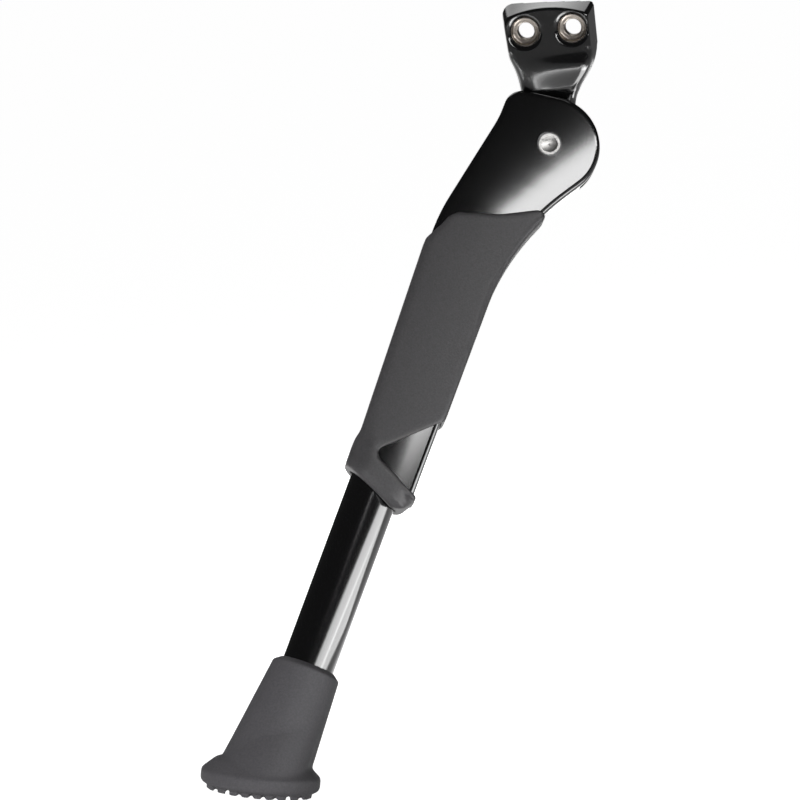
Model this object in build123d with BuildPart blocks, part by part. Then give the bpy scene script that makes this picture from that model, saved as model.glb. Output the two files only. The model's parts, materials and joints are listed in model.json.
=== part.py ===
# Side kickstand for a bicycle: a bracket with two bolt holes, a swinging cast leg with a moulded
# cover, a sliding lower tube and a rubber foot. Millimetres. The origin is midway between the bolt
# holes on the mounting face, +X runs towards the rear wheel, +Y into the frame, +Z up.
import os
from math import cos, degrees, radians, sin, tan

from build123d import *

# Mounting plate
hole_spacing = 18.0
bolt_r = 3.2
counterbore_r = 5.2
counterbore_depth = 4.2
counterbore_chamfer = 1.45
plate_t = 9.0
plate_left = 18.4
plate_right = 17.3
plate_top = 9.9
plate_top_slope = 2.4
plate_top_fall = 0.2
plate_front_top = 8.8
plate_front_fall = 3.5
plate_draft_in = 1.65
plate_shoulder = -10.2
plate_shoulder_left = 17.3
plate_left_corner_r = 4.8
plate_right_corner_r = 1.8
plate_edge_r = 0.8
plate_shoulder_r = 1.4

# Pivot: its place, and how far its axis turns to the rear and up from the plate's normal
pivot_x = -4.4
pivot_y = -9.0
pivot_z = -44.5
pivot_turn = 12.5
pivot_tilt = 15.0
pin_r = 4.0
pin_dish_r = 3.2
pin_dish_depth = 0.6
pin_inset = 0.5
pin_recess_r = 4.7
pin_recess_depth = 0.9
pin_fit = 0.05
press_fit = 0.01

# Tongue of the bracket, and its neck
tongue_r = 13.4
tongue_t = 9.0
neck_left = 7.6
neck_right = 13.3
neck_t = 7.4
neck_waist = -18.0
neck_waist_left = 14.2
neck_waist_right = 13.6
neck_waist_t = 8.6
neck_rise = 18.3
neck_root = 9.0
neck_ease = 1.2
neck_corner_r = 2.6
slot_side_gap = 0.15
slot_rim_gap = 0.4
stop_gap = 0.3
swing_angle = 105.0

# Cast leg: its lean from upright in the swing plane, and its outline round the pivot
leg_lean = 27.0
head_r = 18.9
head_shift = 0.6
head_sink = 0.4
head_top_angle = 99.0
head_chin_angle = -32.0
head_left = 21.3
head_corner_r = 7.0
head_waist_drop = 15.0
head_waist_r = 40.0
hip_left = 30.3
hip_drop = 40.2
hip_r = 70.0
chin_r = 92.0
shank_left = 26.6
shank_right = 1.9
leg_t = 24.6
leg_crown_r = 140.0
leg_crown_x = -8.0
head_bend = 30.0
head_bend_r = 343.0
leg_edge_r = 2.2
leg_end = 144.2
leg_end_slant = 24.0
leg_short = 5.3

# Sliding tube and its socket
tube_x = -16.8
tube_r = 10.0
tube_wall = 2.0
tube_top = 97.0
tube_bottom = 253.0
socket_top = 60.0
slide_fit = 0.06

# Detent: plunger, spring and the two notches of the tongue
detent_angle = 255.0
plunger_r = 4.0
plunger_len = 14.0
plunger_clear = 0.3
detent_depth = 1.3
notch_r = 4.3
bore_end = 46.0
coil_r = 2.9
wire_t = 1.1
coil_turns = 5.0
coil_seat_gap = 0.05

# Moulded cover
cover_t = 1.4
cover_gap = 0.1
cover_edge_r = 1.7
cover_lip_r = 0.9
cover_end_t = 3.0
cover_wall_angle = 15.0
flat_enough = 0.01
cover_tip_x = 25.4
cover_tip_y = -22.6
cover_dip_x = 9.0
cover_dip_y = -31.3
cover_shoulder_x = -9.0
cover_shoulder_y = -36.8
cover_side_slope = 2.34
cover_shoulder_r = 8.0
cover_dip_r = 30.0
cover_tip_r = 3.0
window_x = -4.8
window_y = -134.1
window_top_angle = 43.7
window_low_angle = 24.4
window_r = 2.6
ring_w = 31.0
ring_t = 29.4
ring_corner_r = 10.0
ring_shift = 0.8
ring_band = 8.4
ring_ramp = 5.6
ring_bevel_angle = 28.0
ring_right = 15.4
ring_low_r = 6.0

# Clamp screw in the rear flank of the window
screw_rise = 11.2
screw_angle = -40.0
screw_r = 3.0
screw_len = 6.0
screw_gap = 0.12
screw_key = 3.0
screw_key_depth = 3.0

# Rubber foot
foot_top = 217.4
collar_r = 13.0
collar_bevel = 2.2
collar_slope = 2.6
ankle_drop = 252.0
ankle_r = 16.2
ankle_shift = -1.3
sole_drop = 266.8
sole_tilt_side = 14.7
sole_tilt_out = 14.6
sole_r = 22.7
sole_shift = -1.2
rim_t = 5.4
rim_r = 2.2
flare_h = 4.6
flare_angle = 48.0
tread_inset = 0.2
tread_h = 2.0
tread_w = 3.1
tread_pitch = 4.6
tread_count = 9

# Frame of the swing, and of the leg as it stands
swing_axis = Vector(0, -1, 0).rotate(Axis.X, -pivot_tilt).rotate(Axis.Z, pivot_turn)
swing_plane = Plane(
    origin=(pivot_x, pivot_y, pivot_z),
    x_dir=Vector(1, 0, 0).rotate(Axis.Z, pivot_turn),
    z_dir=swing_axis,
)


def turned(plane, x=0, y=0, z=0):
    # The plane turned about its own axes
    return Plane(plane.location * Rotation(x, y, z))


leg_plane = turned(swing_plane, z=-leg_lean)
leg_down = -leg_plane.y_dir


def polar(radius, angle):
    return (radius * cos(radians(angle)), radius * sin(radians(angle)))


def across(drop, right=tube_x):
    # Plane across the leg below the pivot: x to the right, y outward, z down the leg
    origin = leg_plane.from_local_coords(Vector(right, -drop, 0))
    return Plane(origin=origin, x_dir=leg_plane.x_dir, z_dir=leg_down)


def slanted(drop):
    # Plane parallel to the leg's slanted end
    return turned(across(drop), y=-leg_end_slant)


end_plane = slanted(leg_end)
sole_plane = turned(across(sole_drop), x=sole_tilt_out, y=sole_tilt_side)


def leg_form(grow, tail, edge_r, bent=False):
    # Outer form of the cast leg, grown all round and longer by the tail, its head straight or bent inward
    chin, brow, top = (
        (head_shift + x, y - head_sink)
        for x, y in (
            polar(head_r, head_chin_angle),
            polar(head_r, (head_top_angle + head_chin_angle) / 2),
            polar(head_r, head_top_angle),
        )
    )
    chin_drop = (chin[0] + shank_right) / tan(radians(-head_chin_angle))
    top_left = top[1] - (top[0] + head_left) * tan(radians(head_top_angle - 90))
    waist = (-head_left, head_r - head_sink - head_waist_drop)
    blank_end = -leg_end - head_r
    bend_turn = degrees((head_bend + 2 * head_r) / head_bend_r)
    with BuildPart() as form:
        with BuildSketch(leg_plane):
            with BuildLine():
                crown = ThreePointArc(chin, brow, top)
                Polyline(
                    crown @ 1,
                    (-head_left, top_left),
                    waist,
                    (-hip_left, -hip_drop),
                    (-shank_left, blank_end),
                    (-shank_right, blank_end),
                    (-shank_right, chin[1] - chin_drop),
                    crown @ 0,
                )
            make_face()
            fillet(vertices().sort_by_distance((-head_left, top_left))[0], head_corner_r)
            fillet(vertices().sort_by_distance(waist)[0], head_waist_r)
            fillet(vertices().sort_by_distance((-hip_left, -hip_drop))[0], hip_r)
            fillet(vertices().sort_by_distance((-shank_right, chin[1] - chin_drop))[0], chin_r)
            if grow:
                offset(amount=grow, kind=Kind.INTERSECTION)
        extrude(amount=leg_t / 2 + grow, both=True)
        for side in (1, -1):
            crown_top = leg_plane.from_local_coords(Vector(leg_crown_x, 0, side * leg_t / 2))
            spine_plane = Plane(origin=crown_top, x_dir=leg_plane.y_dir, z_dir=leg_plane.x_dir)
            with BuildLine(spine_plane) as spine:
                Line((blank_end - head_r, 0), (-head_bend if bent else 2 * head_r, 0))
                if bent:
                    JernArc((-head_bend, 0), (1, 0), radius=head_bend_r, arc_size=-side * bend_turn)
            with BuildSketch(Plane(origin=spine.line @ 0, x_dir=leg_plane.x_dir, z_dir=leg_plane.y_dir)):
                with Locations((0, side * leg_crown_r)):
                    Circle(leg_crown_r + grow)
            sweep(mode=Mode.INTERSECT)
        fillet(
            form.edges().filter_by(
                lambda e: abs(leg_plane.to_local_coords(e.center()).Z) > leg_t / 4
                and leg_plane.to_local_coords(e.center()).Y > blank_end + head_r / 2
            ),
            edge_r,
        )
        split(bisect_by=end_plane.offset(tail), keep=Keep.BOTTOM)
    return form.part


# Bracket: drafted plate with an arched top and counterbored bolt holes, a twisted neck and a flat tongue
with BuildPart() as mounting_bracket:
    top_slope = tan(radians(plate_top_slope))
    back_arch = (
        (plate_right, plate_top - plate_top_fall - plate_right * top_slope),
        (0, plate_top),
        (-plate_left, plate_top - plate_top_fall + plate_left * top_slope),
    )
    front_arch = (
        (plate_right - plate_draft_in, plate_front_top - plate_front_fall),
        (0, plate_front_top),
        (plate_draft_in - plate_left, plate_front_top - plate_front_fall),
    )
    for depth, draft, arch in ((0, 0, back_arch), (plate_t, plate_draft_in, front_arch)):
        with BuildSketch(Plane.XZ.offset(depth)):
            with BuildLine():
                ThreePointArc(*arch)
                Polyline(
                    arch[2],
                    (draft - plate_shoulder_left, plate_shoulder),
                    (plate_right - draft, plate_shoulder),
                    arch[0],
                )
            make_face()
    loft(ruled=True)
    for corner, corner_r in ((back_arch[0], plate_right_corner_r), (back_arch[2], plate_left_corner_r)):
        corner_edges = mounting_bracket.edges().filter_by(Plane.XZ, reverse=True)
        fillet(corner_edges.sort_by_distance((corner[0], -plate_t / 2, corner[1]))[0], corner_r)
    front_edges = mounting_bracket.faces().sort_by(Axis.Y)[0].edges()
    fillet(front_edges.sort_by(Axis.Z)[1:], plate_edge_r)

    neck_w = neck_left + neck_right
    neck_x = (neck_right - neck_left) / 2
    for height, left, right, thickness, draft, corner_r in (
        (plate_shoulder, plate_shoulder_left, plate_right, plate_t, plate_draft_in, plate_shoulder_r),
        (neck_waist, neck_waist_left, neck_waist_right, neck_waist_t, plate_draft_in / 2, neck_corner_r),
    ):
        back = (thickness - plate_t) / 2
        with BuildSketch(Plane.XY.offset(height)):
            Polygon(
                (-left, back),
                (draft - left, back - thickness),
                (right - draft, back - thickness),
                (right, back),
                align=None,
            )
            fillet(vertices(), corner_r)
    for rise, ease in ((neck_rise, 0), (neck_root, neck_ease)):
        section_origin = swing_plane.from_local_coords(Vector(neck_x, rise, 0))
        with BuildSketch(Plane(origin=section_origin, x_dir=swing_plane.x_dir, z_dir=swing_plane.y_dir)):
            RectangleRounded(neck_w - ease, neck_t - ease, neck_corner_r)
    loft()

    with BuildSketch(swing_plane):
        Circle(tongue_r)
        with Locations((neck_x, 0)):
            Rectangle(neck_w, tongue_r, align=(Align.CENTER, Align.MIN))
    extrude(amount=tongue_t / 2, both=True)
    with BuildSketch(swing_plane):
        Circle(pin_r + pin_fit)
        for turn in (0, swing_angle):
            with Locations(polar(tongue_r - detent_depth + notch_r, detent_angle - leg_lean + turn)):
                Circle(notch_r)
    extrude(amount=tongue_t, both=True, mode=Mode.SUBTRACT)

    with Locations(Plane.XZ.offset(plate_t)):
        with GridLocations(hole_spacing, 1, 2, 1):
            CounterBoreHole(bolt_r, counterbore_r, counterbore_depth)
            with Locations((0, 0, -counterbore_chamfer)):
                Cone(
                    counterbore_r,
                    counterbore_r + 2 * counterbore_chamfer,
                    2 * counterbore_chamfer,
                    align=(Align.CENTER, Align.CENTER, Align.MIN),
                    mode=Mode.SUBTRACT,
                )

# Cast leg: fork slot for the tongue, pin holes, spring bore, tube socket and clamp screw thread
detent_dir = polar(1, detent_angle)
detent_axis = leg_plane.x_dir * detent_dir[0] + leg_plane.y_dir * detent_dir[1]
detent_plane = Plane(origin=leg_plane.origin, x_dir=leg_plane.z_dir, z_dir=detent_axis)
screw_dir = polar(1, screw_angle)
screw_axis = leg_plane.x_dir * screw_dir[0] + leg_plane.z_dir * screw_dir[1]
screw_plane = Plane(origin=across(leg_end - screw_rise).origin, x_dir=leg_down, z_dir=screw_axis)
neck_rest = 90 + leg_lean
neck_parked = neck_rest - swing_angle
slot_w = tongue_t + 2 * slot_side_gap
slot_reach = 2 * head_r
head_face = leg_t / 2 - leg_crown_x**2 / (2 * leg_crown_r) - head_bend**2 / (2 * head_bend_r)
with BuildPart() as upper_leg:
    add(leg_form(0, -leg_short, leg_edge_r, bent=True))
    with BuildSketch(leg_plane):
        Circle(tongue_r + slot_rim_gap)
        Rectangle(slot_reach, neck_left + stop_gap, rotation=neck_rest, align=Align.MIN)
        Rectangle(
            slot_reach, neck_right + stop_gap, rotation=neck_parked, align=(Align.MIN, Align.MAX)
        )
        Polygon(
            (0, 0),
            polar(slot_reach, neck_parked),
            polar(2 * slot_reach, (neck_rest + neck_parked) / 2),
            polar(slot_reach, neck_rest),
            align=None,
        )
    extrude(amount=slot_w / 2, both=True, mode=Mode.SUBTRACT)
    with BuildSketch(leg_plane):
        Circle(pin_r + press_fit)
    extrude(amount=leg_t, both=True, mode=Mode.SUBTRACT)
    for side in (1, -1):
        with BuildSketch(leg_plane.offset(side * (head_face - pin_recess_depth))):
            Circle(pin_recess_r)
        extrude(amount=side * leg_t / 2, mode=Mode.SUBTRACT)
    with BuildSketch(detent_plane):
        Circle(plunger_r + slide_fit)
    extrude(amount=bore_end, mode=Mode.SUBTRACT)
    with BuildSketch(across(socket_top)):
        Circle(tube_r + slide_fit)
    extrude(amount=leg_end, mode=Mode.SUBTRACT)
    with BuildSketch(screw_plane):
        Circle(screw_r + press_fit)
    extrude(amount=leg_t, mode=Mode.SUBTRACT)

# Pivot pin with a dished face at each end
pin_half = head_face - pin_inset
dish_r = (pin_dish_r**2 + pin_dish_depth**2) / (2 * pin_dish_depth)
with BuildPart(leg_plane) as pivot_pin:
    Cylinder(pin_r, 2 * pin_half)
    with Locations((0, 0, pin_half - pin_dish_depth + dish_r), (0, 0, pin_dish_depth - pin_half - dish_r)):
        Sphere(dish_r, mode=Mode.SUBTRACT)

# Plunger with a round nose, held back just clear of the tongue's rim
nose = tongue_r + plunger_clear + plunger_r
with BuildPart(detent_plane) as detent_plunger:
    with Locations((0, 0, nose)):
        Sphere(plunger_r)
        Cylinder(plunger_r, plunger_len - plunger_r, align=(Align.CENTER, Align.CENTER, Align.MIN))

# Coil spring between the plunger and the floor of its bore
coil_start = tongue_r + plunger_clear + plunger_len + coil_seat_gap + wire_t / 2
coil_len = bore_end - coil_seat_gap - wire_t / 2 - coil_start
with BuildPart() as detent_spring:
    with BuildLine() as coil:
        Helix(
            pitch=coil_len / coil_turns,
            height=coil_len,
            radius=coil_r,
            center=detent_plane.offset(coil_start).origin,
            direction=detent_axis,
        )
    with BuildSketch(Plane(origin=coil.line @ 0, x_dir=detent_axis, z_dir=coil.line % 0)):
        Rectangle(wire_t, wire_t)
    sweep(is_frenet=True)

# Sliding lower tube
with BuildPart() as lower_leg:
    with BuildSketch(across(tube_top)):
        Circle(tube_r)
        Circle(tube_r - tube_wall, mode=Mode.SUBTRACT)
    extrude(amount=tube_bottom - tube_top)

# Set screw with a hexagon socket
with BuildPart() as clamp_screw:
    with BuildSketch(screw_plane.offset(tube_r + screw_gap)):
        Circle(screw_r)
    extrude(amount=screw_len)
    chamfer(clamp_screw.edges(), screw_r / 8)
    with BuildSketch(screw_plane.offset(tube_r + screw_gap + screw_len - screw_key_depth)):
        RegularPolygon(screw_key / 2, 6, major_radius=False)
    extrude(amount=screw_len, mode=Mode.SUBTRACT)

# Slanted ring at the cover's low end: a ramp, a band and a bevel, with its low rear corner rounded
with BuildPart() as cover_ring:
    with BuildSketch(end_plane):
        with Locations((ring_shift, 0)):
            RectangleRounded(ring_w, ring_t, ring_corner_r)
    extrude(amount=cover_end_t, taper=ring_bevel_angle)
    sleeve_left = -shank_left - cover_gap - cover_t - tube_x
    sleeve_right = -shank_right + cover_gap + cover_t - tube_x
    sleeve_x = (sleeve_left + sleeve_right) / 2 / cos(radians(leg_end_slant))
    sleeve_w = (sleeve_right - sleeve_left) / cos(radians(leg_end_slant))
    ramp_low = leg_end - ring_band
    for low, high, x, width, thickness, corner_r in (
        (leg_end, ramp_low, ring_shift, ring_w, ring_t, ring_corner_r),
        (ramp_low, ramp_low - ring_ramp, sleeve_x, sleeve_w, leg_t, leg_edge_r),
    ):
        with BuildSketch(slanted(low)):
            with Locations((ring_shift, 0)):
                RectangleRounded(ring_w, ring_t, ring_corner_r)
        with BuildSketch(slanted(high)):
            with Locations((x, 0)):
                RectangleRounded(width, thickness, corner_r)
        loft()
    with BuildSketch(leg_plane):
        with BuildLine():
            low_y = -leg_end - cover_end_t / cos(radians(leg_end_slant))
            slope = tan(radians(leg_end_slant))
            Polyline(
                (tube_x - leg_t, -leg_end + leg_t),
                (tube_x + ring_right, -leg_end + leg_t),
                (tube_x + ring_right, low_y - ring_right * slope),
                (tube_x - leg_t, low_y + leg_t * slope),
                close=True,
            )
        make_face()
        fillet(vertices().sort_by(Axis.Y)[0], ring_low_r)
    extrude(amount=leg_t, both=True, mode=Mode.INTERSECT)

# Moulded cover: a sleeve over the leg with a slanted window, closed below by a ring round the tube
leg_across = Axis(leg_plane.origin, leg_plane.z_dir)
with BuildPart() as leg_cover:
    add(leg_form(cover_gap + cover_t, -ring_band / 2, cover_edge_r))
    sleeve_low = -leg_end - 2 * head_r
    side_y = cover_shoulder_y - (leg_t + cover_shoulder_x) * cover_side_slope
    with BuildSketch(leg_plane):
        with BuildLine():
            Polyline(
                (tube_x + cover_tip_x, cover_tip_y),
                (tube_x + cover_dip_x, cover_dip_y),
                (tube_x + cover_shoulder_x, cover_shoulder_y),
                (tube_x - leg_t, side_y),
                (tube_x - leg_t, sleeve_low),
                (tube_x + cover_tip_x, sleeve_low),
                close=True,
            )
        make_face()
        fillet(vertices().sort_by_distance((tube_x + cover_tip_x, cover_tip_y))[0], cover_tip_r)
        fillet(vertices().sort_by_distance((tube_x + cover_dip_x, cover_dip_y))[0], cover_dip_r)
        fillet(
            vertices().sort_by_distance((tube_x + cover_shoulder_x, cover_shoulder_y))[0],
            cover_shoulder_r,
        )
    extrude(amount=leg_t, both=True, mode=Mode.INTERSECT)
    top_walls = leg_cover.faces().filter_by(
        lambda f: abs(f.normal_at().dot(leg_plane.z_dir)) < flat_enough
        and f.normal_at().dot(leg_plane.y_dir) > sin(radians(cover_wall_angle))
    )
    fillet(top_walls.edges().filter_by(leg_across, reverse=True), cover_lip_r)

    add(cover_ring.part)
    with BuildSketch(leg_plane):
        with BuildLine():
            Polyline(
                (tube_x + window_x, window_y),
                (tube_x + window_x + leg_t, window_y + leg_t * tan(radians(window_top_angle))),
                (tube_x + window_x + leg_t, window_y - leg_t * tan(radians(window_low_angle))),
                close=True,
            )
        make_face()
        fillet(vertices().sort_by(Axis.X)[0], window_r)
    extrude(amount=leg_t, both=True, mode=Mode.SUBTRACT)
    add(leg_form(cover_gap, cover_gap - leg_short, leg_edge_r + cover_gap), mode=Mode.SUBTRACT)
    with BuildSketch(across(leg_end)):
        Circle(tube_r + stop_gap)
    extrude(amount=leg_t, both=True, mode=Mode.SUBTRACT)

# Rubber foot on the tube's end, with a flared oblique sole, a round rim and tread bars
tread_r = sole_r - rim_r - tread_inset
with BuildPart() as rubber_foot:
    with BuildSketch(sole_plane.offset(-rim_t)):
        with Locations((sole_shift, 0)):
            Circle(sole_r)
    extrude(amount=rim_t)
    with BuildSketch(-sole_plane.offset(-rim_t)):
        with Locations((sole_shift, 0)):
            Circle(sole_r)
    extrude(amount=flare_h, taper=flare_angle)
    rim_edges = rubber_foot.edges().filter_by(GeomType.CIRCLE).sort_by(SortBy.RADIUS)[-2:]
    fillet(rim_edges, rim_r)
    with BuildSketch(across(foot_top)):
        Circle(collar_r)
    with BuildSketch(across(ankle_drop)):
        with Locations((ankle_shift, 0)):
            Circle(ankle_r)
    with BuildSketch(sole_plane.offset(-rim_t)):
        with Locations((sole_shift, 0)):
            Circle(sole_r - flare_h * tan(radians(flare_angle)))
    loft(ruled=True)
    collar_edge = rubber_foot.faces().sort_by(Axis.Z)[-1].edges()
    chamfer(collar_edge, collar_bevel, collar_slope)
    with BuildSketch(sole_plane):
        with Locations((sole_shift, 0)):
            with GridLocations(tread_pitch, 1, tread_count, 1):
                Rectangle(tread_w, 2 * tread_r)
            Circle(tread_r, mode=Mode.INTERSECT)
    extrude(amount=tread_h)
    with BuildSketch(across(foot_top)):
        Circle(tube_r + press_fit)
    extrude(amount=tube_bottom - foot_top, mode=Mode.SUBTRACT)

os.makedirs("parts", exist_ok=True)
mounting_bracket.part.label = "mounting_bracket"
export_step(mounting_bracket.part, "parts/mounting_bracket.step")
upper_leg.part.label = "upper_leg"
export_step(upper_leg.part, "parts/upper_leg.step")
pivot_pin.part.label = "pivot_pin"
export_step(pivot_pin.part, "parts/pivot_pin.step")
detent_plunger.part.label = "detent_plunger"
export_step(detent_plunger.part, "parts/detent_plunger.step")
detent_spring.part.label = "detent_spring"
export_step(detent_spring.part, "parts/detent_spring.step")
leg_cover.part.label = "leg_cover"
export_step(leg_cover.part, "parts/leg_cover.step")
lower_leg.part.label = "lower_leg"
export_step(lower_leg.part, "parts/lower_leg.step")
clamp_screw.part.label = "clamp_screw"
export_step(clamp_screw.part, "parts/clamp_screw.step")
rubber_foot.part.label = "rubber_foot"
export_step(rubber_foot.part, "parts/rubber_foot.step")
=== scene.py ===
import json
import math
import bpy
import numpy as np
from mathutils import Matrix, Vector


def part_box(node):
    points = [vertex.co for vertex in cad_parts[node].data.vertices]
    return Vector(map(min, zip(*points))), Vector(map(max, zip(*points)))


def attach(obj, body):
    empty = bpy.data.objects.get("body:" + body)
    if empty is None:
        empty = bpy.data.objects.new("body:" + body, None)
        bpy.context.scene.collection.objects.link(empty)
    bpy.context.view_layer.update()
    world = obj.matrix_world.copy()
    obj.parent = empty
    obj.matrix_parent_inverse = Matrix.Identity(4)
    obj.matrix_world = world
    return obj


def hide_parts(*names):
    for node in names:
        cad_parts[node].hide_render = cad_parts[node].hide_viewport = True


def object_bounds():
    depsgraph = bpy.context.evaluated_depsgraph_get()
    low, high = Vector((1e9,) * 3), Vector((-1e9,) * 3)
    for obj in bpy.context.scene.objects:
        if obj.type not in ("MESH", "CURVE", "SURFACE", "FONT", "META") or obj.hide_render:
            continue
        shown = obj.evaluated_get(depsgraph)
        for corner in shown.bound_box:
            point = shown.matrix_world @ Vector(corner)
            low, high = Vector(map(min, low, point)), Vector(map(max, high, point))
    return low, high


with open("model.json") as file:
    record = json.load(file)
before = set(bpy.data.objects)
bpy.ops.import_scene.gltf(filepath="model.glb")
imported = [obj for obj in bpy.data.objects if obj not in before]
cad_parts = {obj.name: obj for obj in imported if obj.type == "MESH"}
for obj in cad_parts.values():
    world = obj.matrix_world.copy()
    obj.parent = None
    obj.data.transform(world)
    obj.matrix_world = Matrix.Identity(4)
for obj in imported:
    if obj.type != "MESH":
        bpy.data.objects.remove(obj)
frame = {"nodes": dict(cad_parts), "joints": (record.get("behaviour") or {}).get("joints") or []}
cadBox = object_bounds()
nodes = frame["nodes"]
joints = {joint["name"]: joint for joint in frame["joints"]}
print("stage: frame loaded,", len(nodes), "nodes")

mm = 0.001
mergeWithin = 0.002      # millimetres, for the loose triangles of a solid
bumpDepth = 0.0002       # metres, the height of a bump at full strength

# the leg's own directions, from its two joints
pivot = Vector(joints["leg_swing"]["pos_m"])
legOut = Vector(joints["leg_swing"]["axis"])
legDown = Vector(joints["leg_extend"]["axis"])
legRight = legOut.cross(legDown)
tubeRight = -16.8        # millimetres from the pivot to the middle of the tube


# node helpers
def addNode(tree, kind, **inputs):
    node = tree.nodes.new(kind)
    for key, value in inputs.items():
        node.inputs[key].default_value = value
    return node


def addRange(tree, value, before, after, smooth=False):
    # a value carried from one span to another
    node = tree.nodes.new("ShaderNodeMapRange")
    if smooth:
        node.interpolation_type = "SMOOTHSTEP"
    for key, limit in zip(("From Min", "From Max", "To Min", "To Max"), before + after):
        node.inputs[key].default_value = limit
    tree.links.new(value, node.inputs["Value"])
    return node.outputs["Result"]


def addMath(tree, operation, *values):
    node = tree.nodes.new("ShaderNodeMath")
    node.operation = operation
    for socket, value in zip(node.inputs, values):
        tree.links.new(value, socket)
    return node.outputs[0]


def addLength(tree, vector):
    node = tree.nodes.new("ShaderNodeVectorMath")
    node.operation = "LENGTH"
    tree.links.new(vector, node.inputs[0])
    return node.outputs["Value"]


def splitAxes(tree, vector):
    node = tree.nodes.new("ShaderNodeSeparateXYZ")
    tree.links.new(vector, node.inputs[0])
    return node.outputs


# camera: a long lens at the photo's angle, fitted to the bolt holes, the pin and the tube
view = {
    "turn": 8.80,          # degrees to the rear of square-on
    "height": 8.64,        # degrees above level
    "roll": 5.82,          # degrees, the picture leans to the left
    "pixelsPerMm": 2.6354,
    "originPixel": (550.88, 27.24),   # where the middle of the bolt holes falls
    "imagePixels": 800,
    "distance": 9.0,       # metres
    "farClip": 100.0,
    "sensor": 36.0,
}


def heading(turn, height):
    # unit direction, degrees to the right of the front and above level
    turn, height = math.radians(turn), math.radians(height)
    level = math.cos(height)
    return Vector((math.sin(turn) * level, -math.cos(turn) * level, math.sin(height)))


def addCamera():
    roll = math.radians(view["roll"])
    back = heading(view["turn"], view["height"])
    levelRight = heading(view["turn"] + 90, 0)
    levelUp = back.cross(levelRight)
    right = levelRight * math.cos(roll) - levelUp * math.sin(roll)
    up = levelRight * math.sin(roll) + levelUp * math.cos(roll)
    half = view["imagePixels"] / 2
    scale = view["pixelsPerMm"] / mm
    across, down = view["originPixel"]
    target = right * ((half - across) / scale) - up * ((half - down) / scale)
    camData = bpy.data.cameras.new("camera")
    camData.sensor_width = view["sensor"]
    camData.lens = view["sensor"] * view["distance"] * scale / view["imagePixels"]
    camData.clip_end = view["farClip"]
    cam = bpy.data.objects.new("camera", camData)
    bpy.context.scene.collection.objects.link(cam)
    cam.matrix_world = Matrix((right, up, back)).transposed().to_4x4()
    cam.location = target + back * view["distance"]
    bpy.context.scene.camera = cam


# soft boxes: a thin one for the head's shine, a card above and behind, and fills that no gloss shows
studio = {
    "boxes": {
        # name: turn and height in degrees and distance in metres from the pin, size in metres, glow
        "keyBox": (43.0, 18.3, 0.62, (0.78, 0.088), 6.0),
        "topCard": (196, 42, 0.80, (0.70, 0.60), 0.9),
        "fillBox": (-12, -8, 0.90, (0.60, 0.26), 13.0),
        "backFill": (188, 0, 0.90, (0.80, 0.40), 5.0),
        "sideFill": (-98, 4, 0.90, (0.60, 0.40), 3.0),
    },
    "cards": {
        # beside the foot: middle from the foot's underside, the way it faces, size in metres, glow
        "lowCard": ((0.24, -0.12, 0.045), (-0.88, 0.47, 0.0), (0.45, 0.085), 3.8),
        "floorCard": ((0.24, -0.10, 0.004), (0.0, 0.0, 1.0), (0.18, 0.36), 3.4),
    },
    "unmirrored": ("fillBox", "backFill", "sideFill"),      # no gloss shows these
    "mirroredOnly": ("keyBox", "lowCard", "floorCard"),     # only gloss shows these
    "worldGrey": 0.024,
    "floorDrop": 0.018,    # clear of the foot at its longest reach
    "floorSize": 12.0,
    "floorGrey": 0.75,
    "floorNear": 0.80,     # glow by the foot, where the shadow falls
    "floorFar": 0.97,
    "floorFade": (0.05, 0.45),
    "mirrorDim": 0.12,     # the floor as the gloss shows it, in front and to the right
    "mirrorBright": 0.70,  # behind the foot and to the left
    "mirrorBehind": (0.04, 0.12),   # metres, from dim to bright
    "mirrorAside": (0.18, 0.06),
}


def addSoftBox(name, place, facing, size, glow):
    data = bpy.data.lights.new(name, "AREA")
    data.shape = "RECTANGLE"
    data.size, data.size_y = size
    data.energy = glow * math.pi * size[0] * size[1]
    lamp = bpy.data.objects.new(name, data)
    bpy.context.scene.collection.objects.link(lamp)
    lamp.location = place
    lamp.rotation_euler = (-facing).to_track_quat("Z", "Y").to_euler()
    lamp.visible_camera = False
    lamp.visible_glossy = name not in studio["unmirrored"]
    lamp.visible_diffuse = name not in studio["mirroredOnly"]


def addWorld():
    world = bpy.data.worlds.new("world")
    bpy.context.scene.world = world
    world.use_nodes = True
    grey = world.node_tree.nodes["Background"]
    grey.inputs["Color"].default_value = (1, 1, 1, 1)
    grey.inputs["Strength"].default_value = studio["worldGrey"]


def addStudio():
    for name, (turn, height, distance, size, glow) in studio["boxes"].items():
        away = heading(turn, height)
        addSoftBox(name, pivot + away * distance, -away, size, glow)
    addWorld()
    footLow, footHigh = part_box("rubber_foot")
    foot = (footLow + footHigh) / 2
    foot.z = cadBox[0][2]
    bpy.ops.object.select_all(action="DESELECT")
    ground = foot - Vector((0, 0, studio["floorDrop"]))
    bpy.ops.mesh.primitive_plane_add(size=studio["floorSize"], location=ground)
    floor = bpy.context.object
    floor.name = "floor"
    floor.data.materials.append(paleFloor())
    for name, (middle, facing, size, glow) in studio["cards"].items():
        addSoftBox(name, foot + Vector(middle), Vector(facing), size, glow)


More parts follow.
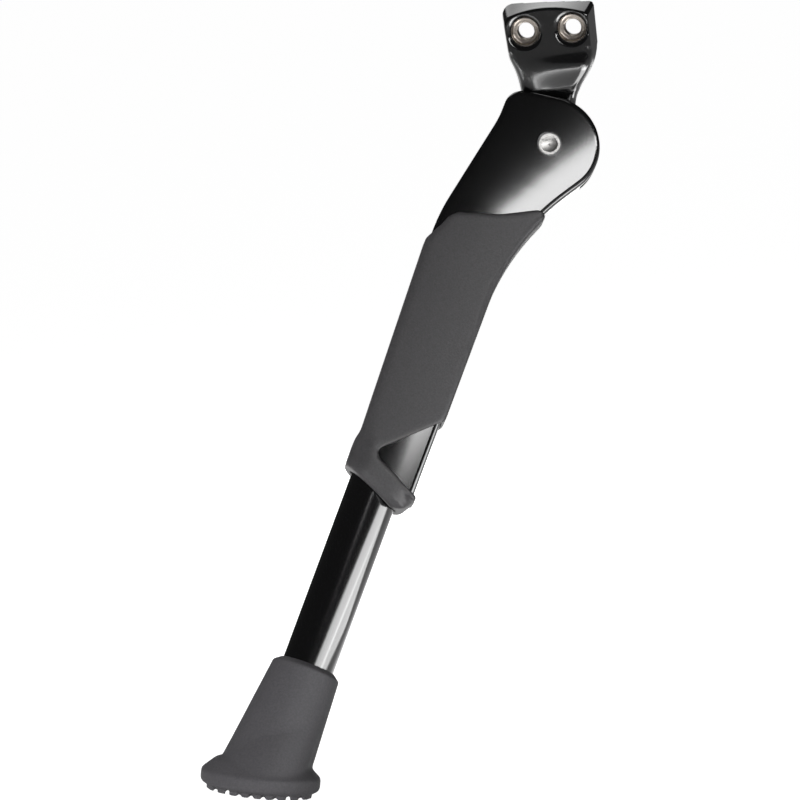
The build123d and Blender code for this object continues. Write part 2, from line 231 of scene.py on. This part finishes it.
def paleFloor():
    mat = bpy.data.materials.new("paleFloor")
    mat.use_nodes = True
    tree = mat.node_tree
    tree.nodes.clear()
    out = tree.nodes.new("ShaderNodeOutputMaterial")
    both = tree.nodes.new("ShaderNodeAddShader")
    matt = addNode(tree, "ShaderNodeBsdfDiffuse", Color=(studio["floorGrey"],) * 3 + (1,))
    glow = addNode(tree, "ShaderNodeEmission", Color=(1, 1, 1, 1))
    path = tree.nodes.new("ShaderNodeLightPath").outputs
    place = tree.nodes.new("ShaderNodeTexCoord").outputs["Object"]
    axes = splitAxes(tree, place)

    # what the camera sees
    tones = (studio["floorNear"], studio["floorFar"])
    seen = addRange(tree, addLength(tree, place), studio["floorFade"], tones, smooth=True)
    direct = addMath(tree, "MULTIPLY", path["Is Camera Ray"], seen)

    # what the gloss shows
    behind = addRange(tree, axes["Y"], studio["mirrorBehind"], (0.0, 1.0), smooth=True)
    aside = addRange(tree, axes["X"], studio["mirrorAside"], (0.0, 1.0), smooth=True)
    bright = addMath(tree, "MULTIPLY", behind, aside)
    tones = (studio["mirrorDim"], studio["mirrorBright"])
    mirrored = addRange(tree, bright, (0.0, 1.0), tones, smooth=True)
    shiny = addMath(tree, "MAXIMUM", path["Is Glossy Ray"], path["Is Transmission Ray"])

    strength = addMath(tree, "ADD", direct, addMath(tree, "MULTIPLY", shiny, mirrored))
    tree.links.new(strength, glow.inputs["Strength"])
    tree.links.new(matt.outputs[0], both.inputs[0])
    tree.links.new(glow.outputs[0], both.inputs[1])
    tree.links.new(both.outputs[0], out.inputs["Surface"])
    return mat


# modelling helpers; the pieces' sizes are in millimetres and degrees
def copyNode(node, name):
    # a merged copy of a solid, selected and active
    bpy.ops.object.select_all(action="DESELECT")
    piece = bpy.data.objects.new(name, nodes[node].data.copy())
    bpy.context.scene.collection.objects.link(piece)
    piece.select_set(True)
    bpy.context.view_layer.objects.active = piece
    bpy.ops.object.mode_set(mode="EDIT")
    bpy.ops.mesh.select_all(action="SELECT")
    bpy.ops.mesh.remove_doubles(threshold=mergeWithin * mm)
    bpy.ops.object.mode_set(mode="OBJECT")
    return piece


def remesh(piece, voxel):
    mod = piece.modifiers.new("evenMesh", "REMESH")
    mod.mode = "VOXEL"
    mod.voxel_size = voxel * mm
    mod.use_smooth_shade = True
    bpy.ops.object.modifier_apply(modifier=mod.name)


def places(piece):
    # vertex places in millimetres
    spots = np.empty(len(piece.data.vertices) * 3)
    piece.data.vertices.foreach_get("co", spots)
    return spots.reshape(-1, 3) / mm


def soften(piece, chosen, rounds):
    # rub down the chosen vertices
    bpy.ops.object.mode_set(mode="EDIT")
    bpy.ops.mesh.select_mode(type="VERT")
    bpy.ops.mesh.select_all(action="DESELECT")
    bpy.ops.object.mode_set(mode="OBJECT")
    piece.data.vertices.foreach_set("select", chosen)
    bpy.ops.object.mode_set(mode="EDIT")
    bpy.ops.mesh.vertices_smooth(factor=0.5, repeat=rounds)
    bpy.ops.mesh.select_all(action="DESELECT")
    bpy.ops.object.mode_set(mode="OBJECT")


def softenAll(piece, rounds):
    soften(piece, np.ones(len(piece.data.vertices), bool), rounds)


def atEdges(piece, turn, rings):
    # the vertices where the surface turns sharply, and their neighbours
    mesh = piece.data
    ends = np.empty(len(mesh.edges) * 2, int)
    mesh.edges.foreach_get("vertices", ends)
    ends = ends.reshape(-1, 2)
    facing = np.empty(len(mesh.vertices) * 3)
    mesh.vertices.foreach_get("normal", facing)
    facing = facing.reshape(-1, 3)
    agree = np.einsum("ij,ij->i", facing[ends[:, 0]], facing[ends[:, 1]])
    chosen = np.zeros(len(mesh.vertices), bool)
    chosen[ends[agree < math.cos(math.radians(turn))]] = True
    for step in range(rings):
        chosen[ends[chosen[ends].any(axis=1)]] = True
    return chosen


def alongLeg(spots):
    # right, up and out from the pivot, in millimetres
    return ((spots - np.array(pivot) / mm) @ np.array((legRight, -legDown, legOut)).T).T


def dress(piece, finish):
    piece.data.materials.clear()
    piece.data.materials.append(finish)


def standFor(piece, node, body):
    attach(piece, body)
    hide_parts(node)


# cover: the moulded sleeve, its slanted ring run into the sleeve with soft blends
coverMake = {
    "voxel": 0.6,
    "tubeRadius": 10.0,
    "wallClear": 1.5,      # past the tube, so that the bore is left alone
    "ringEnd": 144.2,
    "ringSlant": 24.0,
    "bandAbove": 1.2,      # the bevel below this stays crisp
    "frontSide": -2.0,     # to the left of this from the tube's middle
    "frontBlend": (22.0, 50),   # height above the ring's end, rounds
    "rearSide": 8.0,
    "rearBlend": (9.0, 12),
    "edges": (14, 3, 24),  # degrees between neighbours, rings of them, rounds
    "rubAll": 3,
}


def makeCover(finish):
    make = coverMake
    piece = copyNode("leg_cover", "cover_moulding")
    remesh(piece, make["voxel"])
    right, up, out = alongLeg(places(piece))
    right = right - tubeRight
    above = up + make["ringEnd"] + right * math.tan(math.radians(make["ringSlant"]))
    outside = np.hypot(right, out) > make["tubeRadius"] + make["wallClear"]
    crisp = above < make["bandAbove"]
    reach, rounds = make["frontBlend"]
    soften(piece, outside & ~crisp & (right < make["frontSide"]) & (above < reach), rounds)
    reach, rounds = make["rearBlend"]
    soften(piece, outside & ~crisp & (right > make["rearSide"]) & (above < reach), rounds)
    turn, rings, rounds = make["edges"]
    soften(piece, atEdges(piece, turn, rings) & ~crisp, rounds)
    softenAll(piece, make["rubAll"])
    dress(piece, finish)
    standFor(piece, "leg_cover", "leg")


# bracket: the casting with its shoulder run smoothly into the neck
bracketMake = {
    "voxel": 0.32,
    "shoulder": (-24.0, -7.3),   # from the neck's root up to the bolt holes
    "shoulderRounds": 60,
    "rubAll": 4,
}


def makeBracket(finish):
    make = bracketMake
    piece = copyNode("mounting_bracket", "bracket_casting")
    remesh(piece, make["voxel"])
    height = places(piece)[:, 2]
    low, high = make["shoulder"]
    soften(piece, (height > low) & (height < high), make["shoulderRounds"])
    softenAll(piece, make["rubAll"])
    dress(piece, finish)
    standFor(piece, "mounting_bracket", "bracket")


# foot: the rubber moulding, with ribs across the tread and its front run down into the rim
footMake = {
    "voxel": 0.45,
    "soleDrop": 266.8,     # from the pivot along the leg
    "soleShift": -1.2,     # along the sole, plus is to the right
    "tiltOut": 14.6,
    "tiltSide": 14.7,
    "ribWidth": 2.6,
    "ribHeight": 1.2,
    "ribPlaces": (-16.5, -8.2, 0.0, 8.2, 16.5),
    "ribReach": 19.6,
    "apronFoot": (16.9, (0.0, 4.9, -5.8)),    # radius, and place from the middle of the sole
    "apronTop": (13.6, (9.1, -8.1, -30.0)),
    "apronSides": 96,
    "flange": (6.2, 30.0),    # heights above the sole
    "flangeRounds": 16,
    "rubAll": 3,
}


def soleFrame():
    make = footMake
    across = Matrix((legRight, legOut, legDown)).transposed()
    tiltOut = Matrix.Rotation(math.radians(make["tiltOut"]), 3, "X")
    tiltSide = Matrix.Rotation(math.radians(make["tiltSide"]), 3, "Y")
    turn = across @ (tiltOut @ tiltSide)
    middle = pivot + (legRight * tubeRight + legDown * make["soleDrop"]) * mm
    middle = middle + turn.col[0] * make["soleShift"] * mm
    return Matrix.Translation(middle) @ turn.to_4x4()


def addApron(sole):
    # a leaning cone that carries the front of the foot down to its rim
    lowRadius, low = footMake["apronFoot"]
    topRadius, top = footMake["apronTop"]
    low, top = Vector(low) * mm, Vector(top) * mm
    depth = low.z - top.z
    bpy.ops.object.select_all(action="DESELECT")
    bpy.ops.mesh.primitive_cone_add(
        vertices=footMake["apronSides"], radius1=lowRadius * mm, radius2=topRadius * mm, depth=depth
    )
    apron = bpy.context.object
    sides = (Vector((1, 0, 0)), Vector((0, -1, 0)), (top - low) / depth)
    lean = Matrix(sides).transposed().to_4x4()
    apron.data.transform(sole @ Matrix.Translation((low + top) / 2) @ lean)
    return apron


def addRib(sole, place):
    # a bar across the tread, as long as the round sole is there
    make = footMake
    length = 2 * math.sqrt(make["ribReach"] ** 2 - place ** 2)
    size = Vector((length, make["ribWidth"], 2 * make["ribHeight"])) * mm
    bpy.ops.object.select_all(action="DESELECT")
    bpy.ops.mesh.primitive_cube_add(size=1)
    rib = bpy.context.object
    rib.matrix_world = sole @ Matrix.Translation((0, place * mm, 0)) @ Matrix.Diagonal((*size, 1))
    bpy.ops.object.transform_apply(location=True, rotation=True, scale=True)
    return rib


def makeFoot(finish):
    make = footMake
    sole = soleFrame()
    added = [addApron(sole)] + [addRib(sole, place) for place in make["ribPlaces"]]
    piece = copyNode("rubber_foot", "foot_moulding")
    for extra in added:
        extra.select_set(True)
    bpy.ops.object.join()
    remesh(piece, make["voxel"])
    height = -(places(piece) - np.array(sole.translation) / mm) @ np.array(sole.col[2].xyz)
    low, high = make["flange"]
    soften(piece, (height > low) & (height < high), make["flangeRounds"])
    softenAll(piece, make["rubAll"])
    dress(piece, finish)
    standFor(piece, "rubber_foot", "tube")


# finishes
def newFinish(name):
    mat = bpy.data.materials.new(name)
    mat.use_nodes = True
    tree = mat.node_tree
    place = tree.nodes.new("ShaderNodeTexCoord").outputs["Object"]
    return mat, tree, tree.nodes["Principled BSDF"], place


def addBump(tree, shader, height, strength):
    bump = addNode(tree, "ShaderNodeBump", Strength=strength, Distance=bumpDepth)
    tree.links.new(height, bump.inputs["Height"])
    tree.links.new(bump.outputs["Normal"], shader.inputs["Normal"])


paintLook = {
    "black": (0.0022, 0.0022, 0.0025, 1),
    "roughness": 0.16,
    "coatRoughness": 0.11,
    "coatIor": 1.8,
    "level": 0.8,
    "peelScale": 700.0,    # the faint waves of sprayed paint
    "peelStrength": 0.012,
}


def glossBlack(name):
    mat, tree, shader, place = newFinish(name)
    shader.inputs["Base Color"].default_value = paintLook["black"]
    shader.inputs["Roughness"].default_value = paintLook["roughness"]
    shader.inputs["Coat Weight"].default_value = 1.0
    shader.inputs["Coat Roughness"].default_value = paintLook["coatRoughness"]
    shader.inputs["Coat IOR"].default_value = paintLook["coatIor"]
    shader.inputs["Specular IOR Level"].default_value = paintLook["level"]
    peel = addNode(tree, "ShaderNodeTexNoise", Scale=paintLook["peelScale"], Detail=2.0)
    tree.links.new(place, peel.inputs["Vector"])
    addBump(tree, shader, peel.outputs["Fac"], paintLook["peelStrength"])
    return mat, tree, shader, place


boreLook = {
    "across": 0.009,       # metres from the middle to each hole
    "edge": (0.00515, 0.00535),
    "metal": (0.50, 0.45, 0.40, 1),
    "roughness": 0.32,
}


def boredBlack():
    # paint with the bolt seats cut back to bare metal
    mat, tree, shader, place = glossBlack("boredBlackPaint")
    axes = splitAxes(tree, place)
    across = addNode(tree, "ShaderNodeMath")
    across.operation = "SUBTRACT"
    across.inputs[1].default_value = boreLook["across"]
    tree.links.new(addMath(tree, "ABSOLUTE", axes["X"]), across.inputs[0])
    flat = tree.nodes.new("ShaderNodeCombineXYZ")
    tree.links.new(across.outputs[0], flat.inputs["X"])
    tree.links.new(axes["Z"], flat.inputs["Z"])
    fromHole = addLength(tree, flat.outputs[0])
    bare = addRange(tree, fromHole, boreLook["edge"], (1.0, 0.0), smooth=True)
    colour = tree.nodes.new("ShaderNodeMix")
    colour.data_type = "RGBA"
    colour.inputs["A"].default_value = paintLook["black"]
    colour.inputs["B"].default_value = boreLook["metal"]
    tree.links.new(bare, colour.inputs["Factor"])
    tree.links.new(colour.outputs["Result"], shader.inputs["Base Color"])
    tree.links.new(bare, shader.inputs["Metallic"])
    rough = addRange(tree, bare, (0.0, 1.0), (paintLook["roughness"], boreLook["roughness"]))
    tree.links.new(rough, shader.inputs["Roughness"])
    coat = addRange(tree, bare, (0.0, 1.0), (1.0, 0.0))
    tree.links.new(coat, shader.inputs["Coat Weight"])
    return mat


greyLook = {
    "mouldedGrey": {
        "dark": (0.050, 0.049, 0.051, 1),
        "pale": (0.072, 0.070, 0.073, 1),
        "roughness": 0.44,
        "grainScale": 1500.0,
        "grainStrength": 0.25,
    },
    "footRubber": {
        "dark": (0.070, 0.068, 0.073, 1),
        "pale": (0.096, 0.093, 0.100, 1),
        "roughness": 0.66,
        "grainScale": 1300.0,
        "grainStrength": 0.25,
    },
}
grainSpan = (0.3, 0.7)     # where in the grain the dark ends and the pale begins


def greyGrain(name):
    look = greyLook[name]
    mat, tree, shader, place = newFinish(name)
    grain = addNode(tree, "ShaderNodeTexNoise", Scale=look["grainScale"], Detail=4.0, Roughness=0.65)
    ramp = tree.nodes.new("ShaderNodeValToRGB")
    for element, tone, position in zip(ramp.color_ramp.elements, ("dark", "pale"), grainSpan):
        element.color = look[tone]
        element.position = position
    tree.links.new(place, grain.inputs["Vector"])
    tree.links.new(grain.outputs["Fac"], ramp.inputs["Fac"])
    tree.links.new(ramp.outputs["Color"], shader.inputs["Base Color"])
    addBump(tree, shader, grain.outputs["Fac"], look["grainStrength"])
    shader.inputs["Roughness"].default_value = look["roughness"]
    return mat


steelLook = {
    # name: pale tone, roughness
    "brightSteel": ((0.82, 0.81, 0.79), 0.38),
    "springSteel": ((0.45, 0.46, 0.47), 0.30),
    "blackenedSteel": ((0.08, 0.08, 0.085), 0.38),
}
markLook = {
    "scale": 2600.0,
    "darkest": 0.8,            # share of the pale tone
    "roughness": (0.8, 1.3),   # shares of the steel's own
}


def turnedSteel(name):
    # steel with fine turning marks
    pale, rough = steelLook[name]
    mat, tree, shader, place = newFinish(name)
    shader.inputs["Metallic"].default_value = 1.0
    marks = addNode(tree, "ShaderNodeTexNoise", Scale=markLook["scale"], Detail=3.0)
    tone = tree.nodes.new("ShaderNodeValToRGB")
    tone.color_ramp.elements[0].color = tuple(c * markLook["darkest"] for c in pale) + (1,)
    tone.color_ramp.elements[1].color = pale + (1,)
    tree.links.new(place, marks.inputs["Vector"])
    tree.links.new(marks.outputs["Fac"], tone.inputs["Fac"])
    tree.links.new(tone.outputs["Color"], shader.inputs["Base Color"])
    spread = tuple(rough * share for share in markLook["roughness"])
    gloss = addRange(tree, marks.outputs["Fac"], (0.0, 1.0), spread)
    tree.links.new(gloss, shader.inputs["Roughness"])
    return mat


def dressNodes():
    paint = glossBlack("glossBlackPaint")[0]
    steel = turnedSteel("brightSteel")
    for name, finish in (
        ("upper_leg", paint),
        ("lower_leg", paint),
        ("pivot_pin", steel),
        ("detent_plunger", steel),
        ("detent_spring", turnedSteel("springSteel")),
        ("clamp_screw", turnedSteel("blackenedSteel")),
    ):
        dress(nodes[name], finish)


bpy.context.scene.view_settings.view_transform = "Standard"
addCamera()
addStudio()
print("stage: camera and studio set")
dressNodes()
print("stage: plain pieces dressed")
makeBracket(boredBlack())
print("stage: bracket made")
makeCover(greyGrain("mouldedGrey"))
print("stage: cover made")
makeFoot(greyGrain("footRubber"))
print("stage: foot made")
